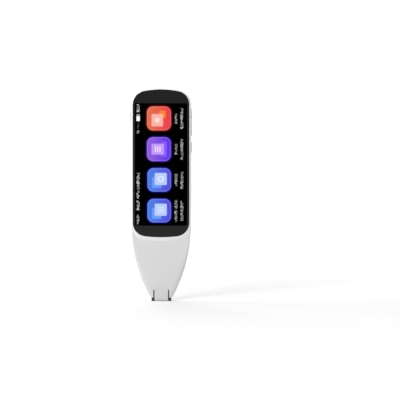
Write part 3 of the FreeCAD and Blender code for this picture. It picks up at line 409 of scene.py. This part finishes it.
# %% [markdown]
# ## The lit screen
#
# The screen's picture lies just behind the glass, so it could be a lit plane under a transparent
# cover. Real glass costs many light bounces for a gap that nobody sees. Here the glass is one black
# gloss material, and inside the picture area it hands over to a dark surface that glows.
#
# The four tiles are drawn from a distance: for each point, how far is it from the edge of a rounded
# square? Below zero is inside. One formula gives the fill, the bright rim and the glow round it.

# %% Distance to a rounded square
def rounded(x, z, centre, half, corner):
    """Distance in millimetres from the edge of a rounded square, negative inside."""
    across = abs(x - centre[0]) - (half[0] - corner)
    along = abs(z - centre[1]) - (half[1] - corner)
    outside = (across.most(0.0) ** 2.0 + along.most(0.0) ** 2.0).root()
    return outside + across.most(along).least(0.0) - corner


# %% [markdown]
# Each tile has two shades that run across it, a glow, a coloured plate behind and a pale badge in
# front. All sizes are millimetres. A tile says its middle as x and a height above the nib's end, and
# half its width. Its plate and badge say where they lie from that middle, half their width, half
# their height and their colour.

# %% The tiles
red_tile = {"at": (-1.4, 121.0), "half": 7.9, "left": (224, 112, 80), "right": (236, 64, 78),
            "glow": (96, 6, 2), "plate": (2.3, 2.8, 2.2, 2.4, (250, 138, 52)),
            "badge": (-1.1, -1.2, 3.8, 4.1, (255, 184, 172))}
violet_tile = {"at": (-1.4, 100.7), "half": 7.9, "left": (146, 94, 220), "right": (98, 56, 230),
               "glow": (34, 2, 110), "plate": (3.2, 0.0, 1.9, 5.0, (140, 92, 254)),
               "badge": (-0.8, -0.05, 4.1, 3.6, (200, 158, 252))}
blue_tile = {"at": (-1.2, 80.4), "half": 7.75, "left": (80, 126, 228), "right": (86, 82, 216),
             "glow": (8, 4, 112), "plate": (-1.65, -1.75, 3.1, 3.6, (112, 160, 254)),
             "badge": (1.0, 0.6, 4.0, 4.0, (192, 210, 254))}
low_tile = dict(blue_tile, at=(-1.2, 60.1))
tiles = [red_tile, violet_tile, blue_tile, low_tile]
print("tiles on the screen:", len(tiles))

# %% [markdown]
# The signs on the badges are plain marks that mean nothing: a soft dot, bars, a ring and a grid of
# points. A row of equal marks needs only one mark: `fold` brings each point to the nearest place of
# the row, so that all places share the same sum.

# %% Signs on the tiles
dot_edge = (2.6, 0.2)
bar_pitch, bar_half_width, bar_half_length = 1.5, 0.38, 1.9
ring_radius, ring_half_width = 1.7, 0.36
point_pitch, point_radius = 1.4, 0.45


def fold(value, step):
    """Distance from the nearest of three places that lie a step apart round zero."""
    nearest = (value / step + 0.5).floor().most(-1.0).least(1.0)
    return value - nearest * step


def dot(finish, across, up):
    return finish.ease(reach(across, up), *dot_edge)


def bars(finish, across, up):
    return (abs(fold(across, bar_pitch)) < bar_half_width) * (abs(up) < bar_half_length)


def ring(finish, across, up):
    return abs(reach(across, up) - ring_radius) < ring_half_width


def points(finish, across, up):
    return reach(fold(across, point_pitch), fold(up, point_pitch)) < point_radius


signs = [dot, bars, ring, points]
print("signs:", [sign.__name__ for sign in signs])

# %% [markdown]
# Beside the tiles and along the left edge run rows of short pale dashes. They could be drawn one by
# one, but a row of equal cells does it: the dash in each cell gets its length, thickness and
# brightness from noise. A row says its x, half the width of its dashes, its brightness, and from
# which height to which it is lit. `either` joins the lit parts: where masks are 0 or 1, the larger
# of two is the one or the other.

# %% Rows of dashes
dash_pitch = 0.74
dash_rows = [
    (9.9, 1.05, 0.50, [(117.3, 124.0), (97.2, 104.0), (76.3, 84.3), (52.7, 59.9), (61.1, 67.0)]),
    (13.8, 1.10, 0.50, [(114.1, 127.7), (93.7, 107.3), (74.5, 85.7), (53.2, 66.4)]),
    (-15.1, 1.10, 0.72, [(125.2, 130.3), (111.1, 113.2), (60.4, 66.9), (67.9, 73.2), (74.3, 85.0)]),
    (-15.1, 1.05, 0.46, [(51.0, 57.4)]),
    (-15.1, 1.00, 0.10, [(113.9, 118.1)]),
]
shortest, thinnest, thicker_by, dimmest = 0.35, 0.22, 0.16, 0.55


def either(masks):
    """1 where any mask is 1."""
    joined = masks[0]
    for mask in masks[1:]:
        joined = joined.most(mask)
    return joined


def dashes(finish, x, z, row):
    """A row of dashes: 0 beside them, and up to the row's brightness on them."""
    column, half, bright, lit = row
    cell = (z / dash_pitch).floor()
    within = z / dash_pitch - cell
    chance = finish.node("ShaderNodeTexWhiteNoise", {"noise_dimensions": "1D"}, {"W": cell + column})
    shift = finish.node("ShaderNodeTexWhiteNoise", {"noise_dimensions": "1D"}, {"W": cell - column})
    length = chance * (1 - shortest) + shortest
    across = abs(x - column + (shift - 0.5) * (1.0 - length) * (2.0 * half)) < length * half
    along = abs(within - 0.5) < shift * thicker_by + thinnest
    spans = either([abs(z - lift((low + high) / 2)) < (high - low) / 2 for low, high in lit])
    return spans * across * along * (shift * (1 - dimmest) + dimmest) * bright


print("rows of dashes:", len(dash_rows))

# %% [markdown]
# The picture is built from the back to the front: black, the glows, the tiles, their plates, badges
# and signs, then the rows of dashes and the little battery cell at the left. The edges of these
# shapes fade over a few tenths of a millimetre, as pixels do. A cover is the share by which a colour
# hides what lies under it.

# %% Picture on the screen
tile_corner, plate_corner = 4.1, 0.9
glow_reach, tile_fade, plate_fade, cell_fade = 1.5, 0.3, 0.4, 0.15
plate_cover, sign_cover, cap_cover, rim_cover = 0.95, 0.62, 0.35, 0.1
rim_edge = (-0.9, -0.1)
cell_column, cell_half_width = -15.1, 1.1
cap_bar = {"height": 121.5, "half": 2.3, "corner": 0.5}
cell_bar = {"height": 120.8, "half": 1.6, "corner": 0.3}


def tile_light(finish, x, z, tile, sign, picture):
    """Lay one tile over the picture."""
    half = tile["half"]
    right, up = x - tile["at"][0], z - lift(tile["at"][1])
    edge = rounded(right, up, (0.0, 0.0), (half, half), tile_corner)
    picture = finish.tint(finish.ease(edge, glow_reach, 0.0), picture, linear(tile["glow"]))
    body = finish.tint(finish.ease(right, -half, half), linear(tile["left"]), linear(tile["right"]))
    for place_x, place_z, wide, tall, shade in (tile["plate"], tile["badge"]):
        shape = rounded(right, up, (place_x, place_z), (wide, tall), plate_corner)
        body = finish.tint(finish.ease(shape, plate_fade, -plate_fade) * plate_cover, body, linear(shade))
    place_x, place_z = tile["badge"][:2]
    body = finish.tint(sign(finish, right - place_x, up - place_z) * sign_cover, body, pure_white)
    body = finish.tint(finish.ease(edge, *rim_edge) * rim_cover, body, pure_white)
    return finish.tint(finish.ease(edge, tile_fade, -tile_fade), picture, body)


def bar_mask(finish, x, z, height, half, corner):
    """1 inside a rounded bar in the battery cell's column."""
    edge = rounded(x, z, (cell_column, lift(height)), (cell_half_width, half), corner)
    return finish.ease(edge, cell_fade, -cell_fade)


def whole_picture(finish, x, z):
    """Everything that glows on the screen."""
    picture = (0.0002, 0.0002, 0.0003, 1)
    for tile, sign in zip(tiles, signs):
        picture = tile_light(finish, x, z, tile, sign, picture)
    marks = either([dashes(finish, x, z, row) for row in dash_rows])
    picture = finish.tint(marks, picture, linear((246, 246, 248)))
    picture = finish.tint(bar_mask(finish, x, z, **cap_bar) * cap_cover, picture, pure_white)
    return finish.tint(bar_mask(finish, x, z, **cell_bar), picture, pure_white)


# %% [markdown]
# Round the picture the glass is printed black on its back. It still looks dark grey, because a
# small part of the white room is reflected in it.

# %% Screen glass
screen_half = 17.2
screen_low = lift(50.2)
screen_high = lift(131.0)
screen_corner = 0.4
glass_front_y = -6.5


def screen_glass():
    """Black gloss, and inside the picture area a surface that glows."""
    finish = Finish("cover_glass")
    x, y, z = finish.place()
    middle = (0.0, (screen_low + screen_high) / 2)
    size = (screen_half, (screen_high - screen_low) / 2)
    lit = (rounded(x, z, middle, size, screen_corner) < 0.0) * (y < glass_front_y)
    smear = finish.noise(14.0)
    black = finish.shader(
        Base_Color=finish.tint(smear, (0.002, 0.002, 0.002, 1), (0.003, 0.003, 0.0032, 1)),
        Roughness=0.05 + 0.05 * smear,
        Specular_IOR_Level=0.2)
    glowing = finish.shader(
        Base_Color=(0, 0, 0, 1),
        Roughness=1.0,
        Specular_IOR_Level=0.0,
        Emission_Color=whole_picture(finish, x, z),
        Emission_Strength=1.0)
    return finish.done(finish.mix(lit, black, glowing))


cover_glass = screen_glass()

# %% [markdown]
# ## Dark windows
#
# The camera's window is black glass: all that shows is its reflection. The reading window at the tip
# is smoke glass, and its colour is painted a paler grey as the light inside the nib, so it looks paler
# than the sleeve round it.

# %% Camera glass and reading window
def dark_glass(name, near, far, rough, specular):
    """Smooth glass with a faint smear between two close shades."""
    finish = Finish(name)
    smear = finish.noise(6.0)
    return finish.done(finish.shader(
        Base_Color=finish.tint(smear, linear(near), linear(far)),
        Roughness=rough + 0.05 * smear,
        Specular_IOR_Level=specular,
        Normal=finish.bump(finish.noise(3.0, detail=1.0), depth=0.004, strength=0.2)))


camera_glass = dark_glass("camera_glass", (4, 4, 5), (6, 6, 7), rough=0.04, specular=0.12)
# The reading window's pale grey is painted light from inside the nib.
smoke_window = dark_glass("smoke_window", (140, 141, 144), (146, 147, 150), rough=0.12, specular=0.4)

# %% [markdown]
# ## Plain engineering plastics
#
# The nib's sleeve, the light hood and the loudspeaker box are black or grey mouldings that nobody is
# meant to look at. They are rougher than the case, and their grain is coarser.

# %% Black and grey plastic
def plain_plastic(name, colour, rough):
    """A grained moulding whose shade drifts a little."""
    finish = Finish(name)
    grain = finish.noise(0.25, detail=3.0, roughness=0.6)
    cloud = finish.noise(5.0)
    return finish.done(finish.shader(
        Base_Color=finish.tint(cloud, linear(colour), linear(shifted(colour, 6))),
        Roughness=rough + 0.15 * grain,
        Normal=finish.bump(grain, depth=0.01, strength=0.4)))


black_plastic = plain_plastic("black_plastic", (22, 22, 23), rough=0.5)
grey_plastic = plain_plastic("grey_plastic", (105, 106, 108), rough=0.5)
plug_plastic = plain_plastic("plug_plastic", (205, 198, 180), rough=0.45)
display = plain_plastic("display", (16, 16, 18), rough=0.2)

# %% [markdown]
# ## Metals
#
# Rolled steel has fine lines one way, which a noise stretched along that way gives: where `stretch`
# is below 1, the noise is longer along that axis. The cast frame behind the screen was blasted
# instead, so its grain is even.

# %% Metals
def metal(name, colour, rough, stretch, grain, depth):
    """A metal with a grain of so many millimetres, and a bump that is depth millimetres deep."""
    finish = Finish(name)
    lines = finish.noise(grain, detail=3.0, roughness=0.6, stretch=stretch)
    cloud = finish.noise(4.0)
    return finish.done(finish.shader(
        Base_Color=finish.tint(cloud, linear(colour), linear(shifted(colour, -12))),
        Metallic=1.0,
        Roughness=rough + 0.15 * lines,
        Normal=finish.bump(lines, depth=depth, strength=0.4)))


alloy = metal("alloy", (196, 198, 202), rough=0.42, stretch=None, grain=0.2, depth=0.01)
steel = metal("steel", (205, 206, 208), rough=0.26, stretch=(1.0, 1.0, 0.08), grain=0.12, depth=0.004)
switch_metal = metal("switch_metal", (206, 202, 190), rough=0.3, stretch=(0.1, 1.0, 1.0), grain=0.12,
                     depth=0.004)

# %% [markdown]
# ## Boards, films, foil and wire
#
# A circuit board's green is a lacquer over copper tracks, which show as slightly paler lines. The
# flexible films are amber with copper lines along them. The battery's foil is crinkled a little.
# Lines and tracks are sine waves that are cut off at a level: a point is on a line where its wave is
# above that level.

# %% Boards, films, foil, lamp and wire
track_waves, track_level = (0.8, 2.9), (-0.2, 0.55)
film_wave, film_level = 9.0, 0.2


def lacquered_board():
    finish = Finish("board")
    x, _, z = finish.place()
    tracks = ((z * track_waves[1]).wave() > track_level[1]) * ((x * track_waves[0]).wave() > track_level[0])
    grain = finish.noise(0.5)
    return finish.done(finish.shader(
        Base_Color=finish.tint(tracks * 0.5, linear((18, 92, 52)), linear((44, 128, 78))),
        Roughness=0.32 + 0.1 * grain,
        Normal=finish.bump(tracks, depth=0.01, strength=0.4)))


def copper_film():
    finish = Finish("amber_flex")
    x = finish.place()[0]
    lines = (x * film_wave).wave() > film_level
    return finish.done(finish.shader(
        Base_Color=finish.tint(lines * 0.6, linear((150, 84, 26)), linear((196, 116, 60))),
        Roughness=0.35 + 0.08 * finish.noise(1.0),
        Normal=finish.bump(lines, depth=0.01, strength=0.3)))


def foil():
    finish = Finish("battery_foil")
    crinkle = finish.noise(3.5, detail=4.0, roughness=0.55)
    return finish.done(finish.shader(
        Base_Color=finish.tint(crinkle, linear((176, 178, 182)), linear((196, 198, 202))),
        Metallic=0.6,
        Roughness=0.34 + 0.1 * crinkle,
        Normal=finish.bump(crinkle, depth=0.12, strength=0.35)))


def lamp_resin():
    finish = Finish("lamp")
    cloud = finish.noise(0.8, detail=1.0)
    return finish.done(finish.shader(
        Base_Color=finish.tint(cloud, linear((238, 226, 150)), linear((246, 240, 200))),
        Roughness=0.15 + 0.1 * cloud,
        Normal=finish.bump(cloud, depth=0.01, strength=0.3)))


def wire_cover():
    finish = Finish("wire")
    grain = finish.noise(0.3)
    return finish.done(finish.shader(
        Base_Color=finish.tint(grain, linear((168, 22, 20)), linear((186, 34, 30))),
        Roughness=0.42 + 0.1 * grain,
        Normal=finish.bump(grain, depth=0.008, strength=0.3)))


board = lacquered_board()
amber_flex = copper_film()
battery_foil = foil()
lamp = lamp_resin()
wire = wire_cover()

# %% [markdown]
# ## The dust mesh behind the loudspeaker's holes
#
# Through each hole in the back one sees a black woven cloth. Its threads lie 0.12 mm apart. Two sine
# waves, one across and one along, give the over and under of the weave.

# %% Dust mesh
thread_pitch = 0.12


def dust_cloth():
    finish = Finish("dust_cloth")
    x, _, z = finish.place()
    threads = math.pi / thread_pitch
    weave = ((x * threads).wave() * (z * threads).wave()) * 0.5 + 0.5
    return finish.done(finish.shader(
        Base_Color=finish.tint(weave, linear((10, 10, 11)), linear((44, 44, 46))),
        Roughness=0.6 + 0.2 * weave,
        Normal=finish.bump(weave, depth=0.03, strength=0.6)))


dust_mesh = dust_cloth()

# %% [markdown]
# ## Putting the finishes on
#
# The record of the model names a material slot for each piece. A table from slot to finish dresses
# all of them, and a short second table holds the piece that differs from the rest of its slot.

# %% Dress the pieces
finishes = {
    "white_case": white_case, "pale_nib": pale_nib, "cover_glass": cover_glass,
    "camera_glass": camera_glass, "smoke_window": smoke_window, "black_plastic": black_plastic,
    "grey_plastic": grey_plastic, "display": display, "alloy": alloy, "steel": steel,
    "switch_metal": switch_metal, "board": board, "plug_plastic": plug_plastic,
    "amber_flex": amber_flex, "lamp": lamp, "battery_foil": battery_foil, "wire": wire,
}
special = {"speaker_mesh": dust_mesh}

for part in frame["record"]["subparts"]:
    piece = nodes[part["node"]]
    finish = special.get(part["node"], finishes[part["material_slot"]])
    if not piece.material_slots:
        piece.data.materials.append(finish)
    for place in piece.material_slots:
        place.material = finish

# %% [markdown]
# ## The contacts in the USB socket
#
# The socket's tongue carries twelve gold contacts on each side. They are a quarter of a millimetre
# wide and nearly flat, so they are added here as thin plates, narrower at the upper end, and not in
# the CAD model. Their places come from the socket's own box.
#
# Two helpers come first, because the springs below use them too. `skin` joins rings of points to a
# closed tube: a plate is a short one, whose two rings are its faces. `as_piece` turns the points and
# faces into an object.

# %% USB contacts
contact_pitch = 0.5 * mm
contact_count = 12
contact_size = (0.25 * mm, 0.03 * mm, 3.4 * mm)
contact_straight = 0.92
tongue_half = 0.35 * mm
tongue_inset = 1.3 * mm


def skin(shape, rings):
    """Join rings of points to a tube and close both ends."""
    sides = len(rings[0])
    for first, second in zip(rings, rings[1:]):
        for i in range(sides):
            j = (i + 1) % sides
            shape.faces.new((first[i], first[j], second[j], second[i]))
    shape.faces.new(rings[0])
    shape.faces.new(reversed(rings[-1]))


def as_piece(shape, name):
    """Turn a bmesh into an object of the scene."""
    mesh = bpy.data.meshes.new(name)
    shape.to_mesh(mesh)
    shape.free()
    piece = bpy.data.objects.new(name, mesh)
    bpy.context.scene.collection.objects.link(piece)
    return piece


def contact_plate(shape, x, y, top):
    """One contact: a thin plate whose upper end is narrowed."""
    wide, thick, tall = contact_size
    shoulder = tall * contact_straight
    outline = [(-wide / 2, 0), (wide / 2, 0), (wide / 2, shoulder), (wide / 4, tall), (-wide / 4, tall),
               (-wide / 2, shoulder)]
    skin(shape, [[shape.verts.new((x + px, y + depth, top - tall + pz)) for px, pz in outline]
                 for depth in (-thick / 2, thick / 2)])


def contacts():
    """Both rows of contacts as one piece."""
    low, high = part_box("usb_socket")
    centre_x, centre_y = (low[0] + high[0]) / 2, (low[1] + high[1]) / 2
    shape = bmesh.new()
    for side in (-1, 1):
        y = centre_y + side * (tongue_half + contact_size[1] / 2)
        for place in range(contact_count):
            x = centre_x + (place - (contact_count - 1) / 2) * contact_pitch
            contact_plate(shape, x, y, high[2] - tongue_inset)
    bmesh.ops.recalc_face_normals(shape, faces=shape.faces)
    return as_piece(shape, "usb_contacts")


gold = metal("contact_gold", (226, 184, 98), rough=0.24, stretch=(1.0, 1.0, 0.1), grain=0.1, depth=0.002)
usb_contacts = contacts()
usb_contacts.data.materials.append(gold)
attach(usb_contacts, "housing")
print("contacts:", 2 * contact_count)

# %% [markdown]
# ## The nib's springs
#
# Two compression springs inside push the nib out. In the CAD model each is a plain sleeve that keeps
# its room, because a coil has many faces. Here they get their wire: a small ring of points is
# carried along a helix, and the rings are joined to a tube. A curve with a round bevel could be
# wound too, but `skin` already joins rings, so the wire takes a few lines. The first and the last
# turn lie close, as on a real spring, where it stands on its seat.

# %% Nib springs
wire_radius = 0.2 * mm
spring_turns = 8.5
turn_steps = 20
wire_sides = 8
end_rise = 2.05 * wire_radius


def climb(turn, rise):
    """Height of the wire's middle after so many turns; an end turn climbs little more than the wire."""
    if turn < 1:
        return end_rise * turn
    if turn > spring_turns - 1:
        return rise - end_rise * (spring_turns - turn)
    return end_rise + (rise - 2 * end_rise) * (turn - 1) / (spring_turns - 2)


def coil(shape, centre_x, centre_y, low, high, radius):
    """A wire wound round an upright axis, closed at both ends."""
    around = [2 * math.pi * side / wire_sides for side in range(wire_sides)]
    rings = []
    for step in range(int(spring_turns * turn_steps) + 1):
        turn = step / turn_steps
        angle = 2 * math.pi * turn
        outward = Vector((math.cos(angle), math.sin(angle), 0))
        height = low + wire_radius + climb(turn, high - low - 2 * wire_radius)
        centre = Vector((centre_x, centre_y, height)) + outward * radius
        rings.append([shape.verts.new(
            centre + wire_radius * (outward * math.cos(a) + Vector((0, 0, math.sin(a))))) for a in around])
    skin(shape, rings)


def wound_springs(low, high):
    """Two springs side by side that fill a box."""
    outer = (high[1] - low[1]) / 2
    shape = bmesh.new()
    for centre_x in (low[0] + outer, high[0] - outer):
        coil(shape, centre_x, (low[1] + high[1]) / 2, low[2], high[2], outer - wire_radius)
    bmesh.ops.recalc_face_normals(shape, faces=shape.faces)
    for face in shape.faces:
        face.smooth = True
    return as_piece(shape, "wound_springs")


spring_steel = metal("spring_steel", (198, 200, 204), rough=0.22, stretch=(1.0, 1.0, 0.3), grain=0.15,
                     depth=0.003)
spring_low, spring_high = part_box("nib_springs")
springs = wound_springs(spring_low, spring_high)
springs.data.materials.append(spring_steel)
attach(springs, "housing")
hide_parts("nib_springs")

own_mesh(springs)

# %% [markdown]
# ## Floor, surroundings and lamps
#
# The photograph has a white ground that fades into a white background, with a soft shadow at the
# tip. The floor here is a wide disc that is lit by the lamps and glows a little for the camera, so it
# reads as white and still takes the shadow. Far away the lamps are weaker, and a plain floor would
# show a grey horizon, so the glow grows with the distance from the pen. The light that the floor
# throws back on the pen comes from a slightly darker white, without the glow.

# %% Floor
floor_radius = 8.0
floor_corners = 96
paper_white, seen_white, paper_rough = 0.80, 0.97, 0.5
near_glow, far_glow = 0.17, 0.80
glow_span = (150.0, 1400.0)


def floor_disc(height):
    """A flat disc, wide enough to reach the horizon."""
    shape = bmesh.new()
    bmesh.ops.create_circle(shape, cap_ends=True, segments=floor_corners, radius=floor_radius)
    disc = as_piece(shape, "floor")
    disc.location = (0, 0, height)
    return disc


def floor_finish():
    """Paper for the light, and a paler paper with a glow for the camera."""
    finish = Finish("floor_white")
    x, y, _ = finish.place()
    glow = finish.tint(finish.ease(reach(x, y), *glow_span), grey(near_glow), grey(far_glow))
    paper, pale = [finish.node("ShaderNodeBsdfDiffuse", None,
                               {"Color": grey(white), "Roughness": paper_rough})
                   for white in (paper_white, seen_white)]
    shine = finish.node("ShaderNodeEmission", None, {"Color": glow, "Strength": 1.0})
    both = finish.node("ShaderNodeAddShader", None, {0: pale, 1: shine})
    return finish.done(finish.mix(finish.seen(), paper, both))


floor = floor_disc(nib_end)
floor.data.materials.append(floor_finish())
print("floor", 2 * floor_radius, "m wide")

# %% [markdown]
# The surroundings light everything a little from all sides. Where the camera or a reflection looks
# at them, they are plain white: the background of the picture is a colour, not more light.

# %% Surroundings
ambient = 0.45
world = bpy.data.worlds.new("studio")
bpy.context.scene.world = world
world.use_nodes = True
sky = Network(world.node_tree)
dim, full = [sky.node("ShaderNodeBackground", None, {"Color": pure_white, "Strength": strength})
             for strength in (ambient, 1.0)]
sky.node("ShaderNodeOutputWorld", None, {"Surface": sky.mix(sky.seen(), dim, full)})
print("light from the surroundings:", ambient)

# %% [markdown]
# A large soft lamp stands at the pen's left and a little behind it. It makes the left edge almost
# white and throws a shadow to the right. A second one, high up behind, throws the shadow that comes
# forward under the tip. The lamp in front is set so far to the left that its reflection in the
# screen's glass misses the camera. All three are squares that face the lower part of the pen. The
# table gives the place and the width of each in metres, and its power in watts.

# %% Lamps
lamp_aim = (0, 0, 0.03)
lamps = {
    "left_lamp": ((-0.88, 0.30, 0.51), 0.6, 3.5),
    "high_lamp": ((-0.26, 0.84, 0.86), 0.7, 5.6),
    "front_lamp": ((-0.60, -1.05, 0.43), 0.6, 5.2),
}

for name, (place, width, power) in lamps.items():
    light = bpy.data.lights.new(name, "AREA")
    light.shape = "SQUARE"
    light.size = width
    light.energy = power
    holder = bpy.data.objects.new(name, light)
    holder.location = place
    holder.rotation_euler = (Vector(lamp_aim) - Vector(place)).to_track_quat("-Z", "Y").to_euler()
    bpy.context.scene.collection.objects.link(holder)
print("lamps placed:", len(lamps))
